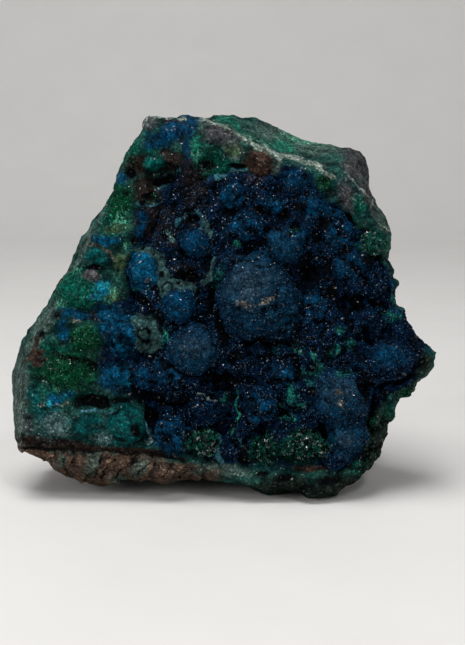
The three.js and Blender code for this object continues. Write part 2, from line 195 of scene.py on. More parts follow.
# Thin lines, each a half width and a path in the photograph's pixels
LINES = {
    # Painted highlights along the ridges and edges, which are also raised a little out of the surface
    "pale": [
        (2.8, [(200, 120), (208, 120), (222, 127), (236, 134), (250, 142), (266, 150), (279, 160)]),
        (2.6, [(276, 154), (290, 156), (307, 163), (326, 170), (334, 178)]),
        (1.5, [(350, 175), (360, 190), (372, 205)]), (1.6, [(377, 223), (391, 230)]),
        (0.9, [(141, 128), (150, 118), (165, 119), (184, 119)]),
        (1.2, [(196, 394), (204, 397), (212, 400)]),
    ],
    "blue_arc": [
        (1.3, [(160, 189), (168, 184), (175, 178), (180, 171)]),
        (1.4, [(217, 180), (227, 173), (236, 169), (246, 171)]),
        (1.0, [(80, 411), (86, 414), (91, 413), (95, 410), (100, 410), (105, 413), (112, 412)]),
        (1.2, [(137, 204), (150, 206), (160, 203)]), (1.6, [(146, 419), (148, 430), (150, 437)]),
        (1.9, [
            (179, 227), (181, 219), (186, 214), (192, 212), (199, 213), (204, 218), (204, 224),
            (201, 230),
        ]),
        (1.4, [(241, 438), (243, 448), (249, 460)]), (0.9, [(184, 432), (186, 442), (184, 452)]),
        (0.9, [(217, 434), (219, 442), (216, 450), (221, 458)]),
    ],
    "grey_skin": [
        (5, [(139, 252), (150, 250), (160, 260), (163, 275), (164, 292)]),
        (5.5, [(163, 284), (178, 284), (190, 289)]),
        (4.5, [(141, 319), (149, 323), (157, 333), (159, 345)]),
        (4, [(140, 347), (150, 349), (159, 345)]), (3, [(208, 222), (211, 232), (211, 243), (205, 251)]),
        (2.5, [(217, 262), (212, 273), (203, 281)]), (2.5, [(168, 232), (172, 240)]),
        (3, [(137, 321), (137, 332), (138, 345)]), (4.5, [(143, 332), (145, 336)]),
    ],
    # Grooves under the balls' lower edges, painted near black as their shadow
    "gap_with_painted_shadow": [
        (3.5, [(219, 312), (222, 326), (234, 339), (252, 344), (272, 343), (290, 337), (302, 326)]),
        (3, [(170, 366), (180, 373), (193, 376), (206, 373), (216, 366), (221, 354)]),
        (2.5, [(177, 250), (183, 258), (193, 261), (203, 258), (209, 250)]),
        (3, [(372, 372), (382, 380), (398, 382), (412, 375)]),
        (3, [(370, 384), (374, 398), (371, 414), (366, 424)]),
        (2.5, [(272, 263), (284, 266), (296, 262), (304, 252), (306, 240)]),
        (2.5, [(162, 320), (172, 324), (184, 322), (194, 314)]),
        (2.5, [(156, 388), (170, 392), (184, 388)]), (2, [(252, 270), (260, 273), (268, 270)]),
        (2.5, [(190, 424), (202, 430), (216, 427)]), (2.5, [(246, 416), (258, 422), (272, 418)]),
    ],
    "brown_edge": [(1.3, [(89, 244), (101, 246), (111, 252), (114, 260)])],
    "vein": [(1.3, [(239, 390), (238, 404), (239, 416), (235, 428), (235, 440)])],
    # The first line is a painted shadow under the lower ledge; the others are dark cracks across the slabs
    "crack_and_painted_ledge_shadow": [
        (1.8, [(21, 448), (60, 449), (90, 451), (130, 453), (160, 455), (184, 460)]),
        (0.8, [(76, 452), (70, 468)]), (0.8, [(101, 456), (95, 478)]), (0.9, [(136, 456), (112, 478)]),
        (0.8, [(152, 456), (156, 472)]), (0.8, [(172, 462), (160, 478)]), (0.8, [(66, 452), (63, 466)]),
        (0.8, [(114, 460), (98, 480)]), (0.8, [(150, 462), (132, 478)]), (0.8, [(190, 466), (178, 480)]),
    ],
}

# Round rims of small holes: the middle, the radius and half the rim's width in the photograph's pixels
HOLE_RIMS = [(167, 288, 5, 2.2), (144, 334, 6.5, 1.9), (155, 341, 3.2, 1.2)]

# How far lines stand out of the surface, or sink into it, in millimetres
LINE_HEIGHTS = {"pale": 0.2, "blue_arc": 0.3, "crack_and_painted_ledge_shadow": -0.4, "hole_rim": -0.6, "gap_with_painted_shadow": -1.2}

# Forms that stand out of the surface or sink into it, as patches with a height or depth in millimetres
LUMPS = [
    (97, 256, 15, 10, 0, 1.2), (78, 292, 22, 20, 0, 1.2), (86, 335, 17, 14, 0, 1.4),
    (125, 424, 20, 22, 0, 1.5), (105, 438, 10, 8, 0, 0.4), (53, 428, 18, 14, 0, 0.3),
    (92, 275, 9, 7, 0, 1.0), (120, 262, 10, 10, 0, 0.9), (101, 290, 10, 10, 0, 0.5),
    (372, 245, 16, 12, 0, 1.5), (144, 271, 14, 18, 0, 1.0), (118, 376, 14, 10, 0, 1.0),
    (155, 166, 10, 7, 0, 0.9), (372, 419, 7, 6, 0, 0.5), (382, 432, 6, 8, 0, 0.5),
    (369, 441, 6, 7, 0, 0.5), (379, 455, 6, 7, 0, 0.5), (389, 412, 5, 8, 20, 0.5),
    (149, 123, 9, 6, 0, 0.8), (171, 131, 12, 8, 0, 0.5), (66, 372, 30, 20, 0, 0.8),
    (209, 165, 20, 17, 0, 0.7), (203, 443, 15, 12, 0, 0.4), (266, 451, 13, 14, 0, 0.3),
    (302, 447, 26, 14, -10, 0.5), (193, 244, 16, 14, 0, 1.5), (254, 284, 34, 27, 0, 1.2),
    (287, 300, 13, 15, 0, 1.5), (176, 306, 18, 15, 0, 1.0), (238, 263, 16, 13, 0, 0.9),
    (285, 246, 20, 18, 0, 0.9), (273, 205, 12, 8, 0, 0.9), (233, 196, 14, 13, 0, 1.1),
    (298, 180, 15, 12, 0, 0.9), (316, 210, 13, 11, 0, 0.9), (340, 236, 14, 12, 0, 0.9),
    (352, 264, 18, 14, 0, 0.9), (377, 278, 12, 12, 0, 0.9), (312, 306, 12, 16, 0, 0.8),
    (205, 412, 17, 15, 0, 0.7), (170, 436, 16, 18, 0, 1.1), (262, 405, 15, 14, 0, 1.3),
    (248, 370, 14, 10, 0, 0.8), (285, 375, 15, 12, 0, 0.8), (330, 346, 15, 14, 0, 0.7),
    (226, 266, 12, 10, 0, 0.8), (245, 228, 17, 13, 0, 0.9), (170, 376, 20, 11, 0, 1.0),
    (122, 332, 13, 18, 0, 0.9), (392, 318, 12, 12, 0, 0.8), (150, 312, 10, 8, 0, 0.7),
]
PITS = [
    (166, 180, 13, 5, -20, 1.8), (136, 240, 5, 5, 0, 1.2), (375, 429, 5, 5, 0, 1.2),
    (372, 449, 5, 5, 0, 1.2), (384, 423, 5, 5, 0, 1.2), (366, 459, 6, 6, 0, 1.2),
    (361, 471, 7, 5, 0, 1.2), (132, 174, 6, 6, 0, 1.6), (150, 197, 8, 6, -15, 1.0),
    (94, 402, 20, 8, 0, 2.2), (122, 400, 12, 4, 0, 1.0), (152, 412, 10, 15, 0, 2.5),
    (238, 166, 9, 4, 0, 1.4), (205, 163, 6, 9, 0, 1.2), (92, 366, 6, 5, 0, 1.4),
    (74, 359, 22, 4, 14, 0.9), (29, 422, 5, 7, 0, 1.0), (307, 271, 16, 18, 0, 2.5),
    (355, 303, 24, 10, 0, 2.0), (268, 345, 38, 7, 4, 2.2), (222, 381, 24, 13, 0, 2.2),
    (172, 403, 22, 8, 0, 2.0), (366, 388, 8, 22, -20, 2.4), (190, 276, 10, 10, 0, 1.5),
    (144, 303, 16, 7, 48, 1.5), (325, 181, 8, 9, 0, 1.6), (194, 220, 9, 6, 0, 1.6),
    (94, 267, 11, 3, 0, 0.9),
]

# Places that are worn smooth: the edges of round holes and a bare brown face
WORN_PLACES = [
    (132, 173, 10, 10, 0), (151, 195, 11, 12, 0), (29, 423, 9, 10, 0), (89, 364, 11, 10, 0),
    (92, 402, 22, 12, 0), (259, 165, 22, 24, 0),
]
# The groove under the lower ledge: half its width and its path
LEDGE_GROOVE = (9, [(3, 447), (255, 475)])
# Faces that broke smooth
FLAT_FACES = [
    (300, 143, 66, 24, 14), (356, 170, 17, 36, -14), (221, 135, 22, 12, 14), (20, 400, 12, 52, 0),
]
# Earth in the round holes: x, z, half width, half height and how far below the front face, in millimetres
HOLE_FILLS = [
    (-24.5, 88.6, 2.4, 2.4, 0.4), (-19.5, 82.5, 3.1, 3.5, 0.2), (-52.5, 22, 2.2, 2.2, 0.3),
    (-36, 37.6, 3, 2.6, 0.8), (-35.5, 27.5, 5.9, 2.8, 1.2),
]
# Earth in the groove, in millimetres and degrees
GROOVE_FILL = {"middle": (-19.5, 11.1), "half": (28.1, 2.4, 1.1), "below": 1.3, "turn": 6.3}
# The balls that stand out of the crust. The rest of it is nearly level.
PROUD = [
    (256, 300, 46, 44, 0), (192, 350, 28, 26, 0), (342, 398, 30, 32, 0), (394, 358, 26, 24, 0),
    (346, 440, 18, 20, 0), (176, 306, 17, 15, 0), (193, 244, 16, 14, 0), (286, 246, 17, 15, 0),
    (144, 271, 15, 20, 0),
]

# Bounds across the photograph, in its pixels, between which the rock changes: it gets knobbly towards the
# right, smoother again on its right tip, and the facets of its back end before that tip
KNOBBLY = (300, 350)
SMOOTH_TIP = (416, 428)
FACETS_END = (405, 425)
# Slabs of the bare rock at the lower left: their width, and how far they lean for each pixel down
SLAB_WIDTH, SLAB_LEAN = 27, 0.6

# The front face at the floor, how much it leans back with height, how far back the photograph shows the
# rock and from what height up the rock has small pits
FACE_FOOT, FACE_LEAN = -28.6, 0.176
SHOWN_DEPTH = 24 * MM
PITTED_ABOVE = 18 * MM


# Places and masks

def seen_at(points):
    """Where the photograph shows points of the specimen, in its pixels."""
    focal = LENS / SENSOR * FRAME_HEIGHT
    offset = points - CAMERA_PLACE
    away = offset @ FORWARD
    u = FRAME_WIDTH / 2 + focal * (offset @ RIGHT) / away
    v = FRAME_HEIGHT / 2 - focal * (offset @ UP) / away
    return u, v


def noise_places(points, size, seed):
    """Where in the noise points are, for features of a size. Each seed has a place of its own."""
    return points / size + seed * np.array([7.31, 3.17, 5.71])


def swell(points, wave, seed):
    """Smooth noise between -1 and 1, with one swell in about two waves."""
    return np.array([noise.noise(place) for place in noise_places(points, wave, seed)])


def cells(points, size, seed):
    """Distance to the nearest of scattered points, and a number for that point, from 0 to 1."""
    found = [noise.voronoi(place) for place in noise_places(points, size, seed)]
    distance = np.array([distances[0] for distances, _ in found])
    centres = np.array([places[0] for _, places in found])
    return distance, np.abs(np.sin(centres @ np.array([12.9, 78.2, 37.7])) * 437.5) % 1


def buds(points, size, seed):
    """Heights of round buds: 0 between them, and 0.3 to 1 at their tops."""
    distance, number = cells(points, size, seed)
    return (0.3 + 0.7 * number) * np.sqrt(np.clip(1 - (distance / 0.62) ** 2, 0, 1))


def broken_facets(points, size, seed):
    """Heights of broken facets, each leaning its own way, up to about 1 either way."""
    places = noise_places(points, size, seed)
    centres = np.array([noise.voronoi(place)[1][0] for place in places])
    leaning = np.sin(centres @ np.array([[12.9, 4.1, 7.7], [78.2, 9.3, 3.1], [37.7, 2.9, 5.3]]) * 43.7)
    return np.einsum("ij,ij->i", places - centres, leaning)


def ease(value, low, high):
    """0 below low, 1 above high, smooth between."""
    share = np.clip((value - low) / (high - low), 0, 1)
    return share * share * (3 - 2 * share)


def inside_patch(u, v, patch):
    """1 in the middle of a patch, 0 on its edge, less outside."""
    centre_u, centre_v, half_u, half_v, turn = patch
    cos, sin = math.cos(math.radians(turn)), math.sin(math.radians(turn))
    across = ((u - centre_u) * cos + (v - centre_v) * sin) / half_u
    down = ((v - centre_v) * cos - (u - centre_u) * sin) / half_v
    return 1 - np.hypot(across, down)


def patch_mask(u, v, patches):
    """How far inside the nearest patch each place is, down to -1."""
    return np.maximum(np.max([inside_patch(u, v, patch) for patch in patches], axis=0), -1)


def path_distance(u, v, path):
    """Distance in pixels to the nearest point of a path."""
    nearest = np.full(len(u), np.inf)
    for (u0, v0), (u1, v1) in zip(path, path[1:]):
        run_u, run_v = u1 - u0, v1 - v0
        share = np.clip(((u - u0) * run_u + (v - v0) * run_v) / (run_u ** 2 + run_v ** 2), 0, 1)
        nearest = np.minimum(nearest, np.hypot(u - u0 - share * run_u, v - v0 - share * run_v))
    return nearest


def line_mask(u, v, lines):
    """How far inside the nearest line each place is, down to -1."""
    return np.maximum(np.max([1 - path_distance(u, v, path) / half for half, path in lines], axis=0), -1)


def rim_mask(u, v, rims):
    """How far inside the nearest round rim each place is, down to -1."""
    inside = [1 - np.abs(np.hypot(u - at_u, v - at_v) - radius) / half for at_u, at_v, radius, half in rims]
    return np.maximum(np.max(inside, axis=0), -1)


def area_mask(u, v, outline, fade):
    """1 well inside an outline, 0 on it, -1 well outside, changing over the fade in pixels."""
    inside = np.zeros(len(u), bool)
    closed = outline + outline[:1]
    for (u0, v0), (u1, v1) in zip(closed, closed[1:]):
        if v0 != v1:
            crossing = u0 + (v - v0) * (u1 - u0) / (v1 - v0)
            inside ^= ((v0 > v) != (v1 > v)) & (u < crossing)
    depth = path_distance(u, v, closed) / fade
    return np.clip(np.where(inside, depth, -depth), -1, 1)


# Surfaces

class Surface:
    """A new piece's mesh as arrays: points, normals and the means of neighbours."""

    def __init__(self, piece):
        self.mesh = piece.data
        self.count = len(self.mesh.vertices)
        ends = np.empty(len(self.mesh.edges) * 2, int)
        self.mesh.edges.foreach_get("vertices", ends)
        self.first, self.second = ends.reshape(-1, 2).T
        self.valence = np.bincount(ends, minlength=self.count)
        self.masks = {}
        self.read()

    def read(self):
        points, normals = np.empty(self.count * 3), np.empty(self.count * 3)
        self.mesh.vertices.foreach_get("co", points)
        self.mesh.vertex_normals.foreach_get("vector", normals)
        self.points, self.normals = points.reshape(-1, 3), normals.reshape(-1, 3)

    def write(self, points):
        self.mesh.vertices.foreach_set("co", points.ravel())
        self.mesh.update()
        self.read()

    def push(self, height):
        """Moves the surface out along its normals by a height in millimetres."""
        self.write(self.points + self.normals * (height * MM)[:, None])

    def facing(self):
        """How squarely the surface faces the camera: 1 fully, 0 edge on."""
        return -(self.normals @ FORWARD)

    def mean(self, values):
        total = np.bincount(self.first, values[self.second], self.count)
        total += np.bincount(self.second, values[self.first], self.count)
        return total / self.valence

    def smoothed(self, rounds):
        points = self.points
        for _ in range(rounds):
            points = np.stack([self.mean(axis) for axis in points.T], axis=1)
        return points

    def relief(self, rounds):
        """Height above the surface's own smoothed form, in millimetres."""
        return np.einsum("ij,ij->i", self.points - self.smoothed(rounds), self.normals) / MM

    def store(self, name, values):
        """Keeps a mask here and, for the materials, on the mesh."""
        self.masks[name] = values
        self.mesh.attributes.new(name, "FLOAT", "POINT").data.foreach_set("value", values)

    def inside(self, name, low, high):
        """How much of a mark covers each place: 0 where its mask is low, 1 where it is high."""
        return ease(self.masks[name], low, high)


def face_depth(z):
    """Where the leaning front face is at a height, in millimetres."""
    return FACE_FOOT + FACE_LEAN * z


def fill_holes(mesh):
    """Puts earth into the holes and the groove, up to a little below the front face."""
    shape = bmesh.new()
    shape.from_mesh(mesh)
    for x, z, half_width, half_height, below in HOLE_FILLS:
        depth = face_depth(z) + below + half_height
        place = Matrix.Translation(Vector((x, depth, z)) * MM)
        size = Matrix.Diagonal((half_width * MM, half_height * MM, half_height * MM, 1))
        bmesh.ops.create_icosphere(shape, subdivisions=2, radius=1, matrix=place @ size)
    x, z = GROOVE_FILL["middle"]
    half = GROOVE_FILL["half"]
    place = Matrix.Translation(Vector((x, face_depth(z) + GROOVE_FILL["below"] + half[1], z)) * MM)
    turn = Matrix.Rotation(math.radians(GROOVE_FILL["turn"]), 4, "Y")
    size = Matrix.Diagonal((*[2 * length * MM for length in half], 1))
    bmesh.ops.create_cube(shape, size=1, matrix=place @ turn @ size)
    shape.to_mesh(mesh)
    shape.free()


def fine_copy(node, name, voxel, prepare=None):
    """A new piece with the form of a CAD node, prepared if need be, in fine even faces."""
    piece = bpy.data.objects.new(name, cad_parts[node].data.copy())
    if prepare:
        prepare(piece.data)
    bpy.context.scene.collection.objects.link(piece)
    remesh = piece.modifiers.new("even faces", "REMESH")
    remesh.mode = "VOXEL"
    remesh.voxel_size = voxel
    evaluated = piece.evaluated_get(bpy.context.evaluated_depsgraph_get())
    mesh = bpy.data.meshes.new_from_object(evaluated)
    piece.modifiers.clear()
    piece.data = mesh
    mesh.name = name
    mesh.materials.clear()
    mesh.shade_smooth()
    return piece


def split_shown_faces(piece, cover):
    """Halves the faces that the photograph shows, for the finest markings. The cover hides the rest."""
    hiding = BVHTree.FromPolygons([v.co for v in cover.vertices], [f.vertices for f in cover.polygons])
    shape = bmesh.new()
    shape.from_mesh(piece.data)
    edges = set()
    for face in shape.faces:
        middle = face.calc_center_median()
        towards = (Vector(CAMERA_PLACE) - middle).normalized()
        if face.normal.dot(towards) > 0.1 and hiding.ray_cast(middle, towards)[0] is None:
            edges.update(face.edges)
    bmesh.ops.subdivide_edges(shape, edges=list(edges), cuts=1, use_grid_fill=True)
    bmesh.ops.triangulate(shape, faces=[face for face in shape.faces if len(face.verts) > 4])
    shape.to_mesh(piece.data)
    shape.free()
    piece.data.shade_smooth()


def mark(surface, shown):
    """Stores a mask for every kind of mark, only where the photograph shows the surface."""
    points = surface.points
    u, v = seen_at(points)
    u = u + 3.5 * swell(points, 5 * MM, 1) + 2 * swell(points, 1.6 * MM, 2)
    v = v + 3.5 * swell(points, 5 * MM, 3) + 2 * swell(points, 1.6 * MM, 4)
    surface.seen = u, v
    surface.store("blue", np.where(shown, area_mask(u, v, BLUE_AREA, 14), -1))
    for name, patches in PATCHES.items():
        surface.store(name, np.where(shown, patch_mask(u, v, patches), -1))
    for name, lines in LINES.items():
        surface.store(name, np.where(shown, line_mask(u, v, lines), -1))
    surface.store("hole_rim", np.where(shown, rim_mask(u, v, HOLE_RIMS), -1))


def carve(surface, shown, lump):
    """Raises the lumps and lines and sinks the pits and cracks. The lump gives a lump's profile."""
    u, v = surface.seen
    height = np.zeros(surface.count)
    for *patch, rise in LUMPS:
        height = np.maximum(height, rise * lump(inside_patch(u, v, patch)))
    uneven = 0.8 + 0.6 * swell(surface.points, 2.4 * MM, 9)
    for *patch, depth in PITS:
        height -= depth * uneven * ease(inside_patch(u, v, patch), -0.1, 0.7)
    for name, rise in LINE_HEIGHTS.items():
        height += rise * surface.inside(name, 0, 0.8)
    surface.push(np.where(shown, height, 0))


def make_rock():
    """The block with its worn holes, chips, facets, lumps and pits, resting on the floor."""
    piece = fine_copy("host_rock", "rock", ROCK_VOXEL, fill_holes)
    split_shown_faces(piece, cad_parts["cornetite_crust"].data)
    surface = Surface(piece)
    surface.write(surface.smoothed(2))
    turned = surface.facing()
    shown = (turned > -0.1) & (surface.points[:, 1] < SHOWN_DEPTH)
    u, v = seen_at(surface.points)
    worn = 0.75 * ease(patch_mask(u, v, WORN_PLACES), 0, 0.3)[:, None]
    surface.write(surface.points + worn * (surface.smoothed(30) - surface.points))
    mark(surface, shown)
    points = surface.points
    broken = surface.inside("matrix", -0.1, 0.3)
    calm = 1 - 0.85 * ease(line_mask(u, v, [LEDGE_GROOVE]), 0, 0.4)
    calm *= 1 - 0.6 * ease(patch_mask(u, v, FLAT_FACES), 0, 0.4)
    knobbly = surface.inside("blue", -0.95, -0.4) * ease(u, *KNOBBLY) * (1 - 0.6 * ease(u, *SMOOTH_TIP))
    lumps = 0.7 * swell(points, 6 * MM, 11) + 0.5 * swell(points, 2.6 * MM, 12)
    lumps += 0.25 * swell(points, 1.2 * MM, 13) + 1.6 * knobbly * (buds(points, 2.8 * MM, 18) - 0.6)
    distance, number = cells(points, 3.2 * MM, 14)
    pits = -0.6 * (number > 0.8) * ease(0.4 - distance, 0, 0.3) * (points[:, 2] > PITTED_ABOVE)
    surface.push(calm * (lumps + pits) * (1 - 0.6 * broken))
    back = ease(-turned, 0.2, 0.6) * (1 - ease(u, *FACETS_END))
    breaks = 1.8 * broken_facets(points, 15 * MM, 19) + 0.9 * broken_facets(points, 6 * MM, 27)
    surface.push(back * (breaks - 0.6))
    carve(surface, shown, lambda inside: ease(inside, -0.15, 0.6))
    distance, _ = cells(surface.points, 1.3 * MM, 15)
    druse = np.maximum(surface.inside("green_field", -0.1, 0.3), surface.inside("blue", -0.1, 0.2))
    u, v = surface.seen
    slabs = ((u + SLAB_LEAN * v) / SLAB_WIDTH + 0.35 * swell(surface.points, 7 * MM, 16)) % 1
    surface.push(druse * 0.35 * (0.6 - distance) + 0.9 * broken * (slabs - 0.5))
    # thin slivers that stick out between the facets are drawn back to their neighbours
    for _ in range(3):
        slivers = ease(np.abs(surface.relief(4)), 0.7, 1.1)[:, None]
        surface.write(surface.points + slivers * (surface.smoothed(4) - surface.points))
    resting = surface.points.copy()
    resting[:, 2] = np.maximum(resting[:, 2], 0)
    surface.write(resting)
    surface.store("relief", surface.relief(12))
    surface.store("skin", 0.9 * ease(turned, -0.6, 0.1) - 0.2 + 0.5 * swell(surface.points, 14 * MM, 17))
    return piece, surface


def make_crust():
    """The crust with its proud balls, its buds, sunk pockets between them that are painted dark as shade,
    and a fine grain.
    """
    piece = fine_copy("cornetite_crust", "crust", CRUST_VOXEL)
    surface = Surface(piece)
    surface.write(surface.smoothed(6))
    shown = surface.facing() > -0.2
    open_side = ease(surface.facing(), 0, 0.5)
    u, v = seen_at(surface.points)
    proud = ease(patch_mask(u, v, PROUD), -0.1, 0.25)
    surface.push(-(0.6 - 0.45 * proud) * open_side * surface.relief(70))
    mark(surface, shown)
    carve(surface, shown, lambda inside: np.sqrt(np.clip(inside * 1.6, 0, 1)))
    points = surface.points
    lumps = 1.5 * (1 - 0.75 * proud) * buds(points, 4.2 * MM, 20)
    lumps += 0.7 * (1 - 0.6 * proud) * buds(points, 2.1 * MM, 21)
    lumps += proud * (1.1 * swell(points, 9 * MM, 23) + 0.5 * swell(points, 3.5 * MM, 24))
    smooth = surface.inside("grey_skin", -0.2, 0.2)
    pocket = swell(points, 3.4 * MM, 25) + 0.6 * swell(points, 1.5 * MM, 26)
    # Pockets between the buds, sunk into the surface and later painted dark as shade
    gloom = ease(pocket, 0.05, 0.5) * (1 - 0.85 * proud) * (1 - smooth)
    surface.store("gloom", gloom)
    surface.push(open_side * ((1 - 0.8 * smooth) * lumps - 0.7 * gloom + 0.5 * smooth))
    distance, _ = cells(surface.points, 1.0 * MM, 22)
    surface.push(open_side * 0.22 * (0.6 - distance))
    surface.store("relief", surface.relief(26))
    surface.store("crevice", surface.relief(5))
    return piece, surface


# Crystals

def sow_crystals(piece, name, count, weight, sizes, seed):
    """Tiny pointed crystals over a surface, as one mesh. The weight says how thickly they stand where, and
    the sizes are the smallest and the largest in millimetres."""
    random = np.random.default_rng(seed)
    smallest, largest = sizes[0] * MM, sizes[1] * MM
    mesh = piece.data
    mesh.calc_loop_triangles()
    faces = len(mesh.loop_triangles)
    corners, areas = np.empty(faces * 3, int), np.empty(faces)
    mesh.loop_triangles.foreach_get("vertices", corners)
    mesh.loop_triangles.foreach_get("area", areas)
    corners = corners.reshape(-1, 3)
    chance = areas * np.clip(weight[corners].mean(axis=1), 0, None)
    picked = corners[random.choice(faces, count, p=chance / chance.sum())]
    share = random.dirichlet((1, 1, 1), count)[:, :, None]
    points, normals = np.empty(len(weight) * 3), np.empty(len(weight) * 3)
    mesh.vertices.foreach_get("co", points)
    mesh.vertex_normals.foreach_get("vector", normals)
    place = (points.reshape(-1, 3)[picked] * share).sum(axis=1)
    axis = (normals.reshape(-1, 3)[picked] * share).sum(axis=1) + random.normal(0, 0.4, (count, 3))
    axis /= np.linalg.norm(axis, axis=1)[:, None]
    side = np.cross(axis, random.normal(0, 1, (count, 3)))
    side /= np.linalg.norm(side, axis=1)[:, None]
    other = np.cross(axis, side)
    size = (smallest + (largest - smallest) * random.random(count) ** 2)[:, None]
    foot = place - axis * size * 0.45
    width = 0.7 * size
    tips = np.stack([
        foot + side * width, foot + other * width * 0.8, foot - side * width, foot - other * width * 0.8,
        foot + axis * size,
    ], axis=1).reshape(-1, 3)
    shape = np.array([(0, 1, 4), (1, 2, 4), (2, 3, 4), (3, 0, 4), (0, 3, 2), (0, 2, 1)])
    triangles = (shape[None] + 5 * np.arange(count)[:, None, None]).reshape(-1, 3)
    druse = bpy.data.meshes.new(name)
    druse.from_pydata(tips.tolist(), [], triangles.tolist())
    spark = np.repeat(random.random(count), 5)
    druse.attributes.new("spark", "FLOAT", "POINT").data.foreach_set("value", spark)
    made = bpy.data.objects.new(name, druse)
    bpy.context.scene.collection.objects.link(made)
    return made


# Node helpers

def tone(red, green, blue):
    """A colour given as 0 to 255, in the linear form that shaders use."""
    shares = [c / 255 for c in (red, green, blue)]
    return (*[s / 12.92 if s <= 0.04045 else ((s + 0.055) / 1.055) ** 2.4 for s in shares], 1)


def add(tree, kind, inputs=(), **settings):
    """Adds a node, sets its options, and sets or links its inputs."""
    made = tree.nodes.new(kind)
    for name, value in settings.items():
        setattr(made, name, value)
    for name, value in dict(inputs).items():
        if isinstance(value, bpy.types.NodeSocket):
            tree.links.new(value, made.inputs[name])
        else:
            made.inputs[name].default_value = value
    return made


def mixed(tree, share, first, second, blend="MIX"):
    """The colour between two colours."""
    colours = {0: share, 6: first, 7: second}
    return add(tree, "ShaderNodeMix", colours, data_type="RGBA", blend_type=blend).outputs[2]


def maths(tree, operation, *values):
    return add(tree, "ShaderNodeMath", dict(enumerate(values)), operation=operation).outputs[0]


def vectors(tree, operation, *values):
    return add(tree, "ShaderNodeVectorMath", dict(enumerate(values)), operation=operation).outputs[0]


def ramped(tree, value, low, high, to_low=0.0, to_high=1.0):
    span = {"Value": value, "From Min": low, "From Max": high, "To Min": to_low, "To Max": to_high}
    return add(tree, "ShaderNodeMapRange", span, interpolation_type="SMOOTHSTEP").outputs[0]


def mask_socket(tree, name):
    return add(tree, "ShaderNodeAttribute", attribute_name=name).outputs["Fac"]


def speckle(tree, scale, detail=4.0, rough=0.6):
    """Noise over the object."""
    place = add(tree, "ShaderNodeTexCoord").outputs["Object"]
    field = {"Vector": place, "Scale": scale, "Detail": detail, "Roughness": rough}
    return add(tree, "ShaderNodeTexNoise", field).outputs["Fac"]


def new_group(name, inputs, outputs):
    """An empty shader group with named sockets."""
    group = bpy.data.node_groups.new(name, "ShaderNodeTree")
    for socket, kind in inputs:
        group.interface.new_socket(socket, in_out="INPUT", socket_type=kind)
    for socket, kind in outputs:
        group.interface.new_socket(socket, in_out="OUTPUT", socket_type=kind)
    return group, group.nodes.new("NodeGroupInput").outputs, group.nodes.new("NodeGroupOutput").inputs


def use(tree, group, inputs):
    """Places a group in a tree and gives its outputs."""
    return add(tree, "ShaderNodeGroup", inputs, node_tree=group).outputs


FLOAT, VECTOR = "NodeSocketFloat", "NodeSocketVector"


def ragged_patch_group():
    """A patch's mask with a ragged, mineral edge."""
    inputs = [("Mask", FLOAT), ("Scale", FLOAT), ("Ragged", FLOAT), ("Soft", FLOAT), ("Cover", FLOAT)]
    group, given, result = new_group("ragged patch", inputs, [("Mask", FLOAT)])
    waver = maths(group, "SUBTRACT", speckle(group, given["Scale"], 5.0, 0.65), 0.5)
    covered = maths(group, "ADD", given["Mask"], given["Cover"])
    edge = maths(group, "MULTIPLY_ADD", waver, given["Ragged"], covered)
    low = maths(group, "MULTIPLY", given["Soft"], -1.0)
    group.links.new(ramped(group, edge, low, given["Soft"]), result["Mask"])
    return group


def grain_group():
    """Fine light and dark grains, and their height."""
    inputs = [("Scale", FLOAT), ("Contrast", FLOAT)]
    group, given, result = new_group("grain", inputs, [("Shade", FLOAT), ("Height", FLOAT)])
    height = speckle(group, given["Scale"], 6.0, 0.7)
    swing = maths(group, "MULTIPLY", maths(group, "SUBTRACT", height, 0.5), given["Contrast"])
    group.links.new(maths(group, "MAXIMUM", maths(group, "ADD", swing, 1.0), 0.05), result["Shade"])
    group.links.new(height, result["Height"])
    return group


def glint_group():
    """Facets of tiny crystals: a normal and a shade for each, and a mask of the few that shine."""
    inputs = [("Scale", FLOAT), ("Tilt", FLOAT), ("Share", FLOAT), ("Normal", VECTOR)]
    outputs = [("Normal", VECTOR), ("Mask", FLOAT), ("Shade", FLOAT)]
    group, given, result = new_group("crystal glints", inputs, outputs)
    place = add(group, "ShaderNodeTexCoord").outputs["Object"]
    facets = add(group, "ShaderNodeTexVoronoi", {"Vector": place, "Scale": given["Scale"]}).outputs["Color"]
    centred = vectors(group, "SUBTRACT", facets, (0.5, 0.5, 0.5))
    scaled = {0: centred, "Scale": given["Tilt"]}
    lean = add(group, "ShaderNodeVectorMath", scaled, operation="SCALE").outputs[0]
    leaning = vectors(group, "ADD", lean, given["Normal"])
    group.links.new(vectors(group, "NORMALIZE", leaning), result["Normal"])
    numbers = add(group, "ShaderNodeSeparateColor", {0: facets}).outputs
    group.links.new(maths(group, "LESS_THAN", numbers[0], given["Share"]), result["Mask"])
    steep = maths(group, "POWER", numbers[1], 3.0)
    group.links.new(maths(group, "MULTIPLY_ADD", steep, 2.4, 0.4), result["Shade"])
    return group


RAGGED, GRAIN, GLINTS = ragged_patch_group(), grain_group(), glint_group()
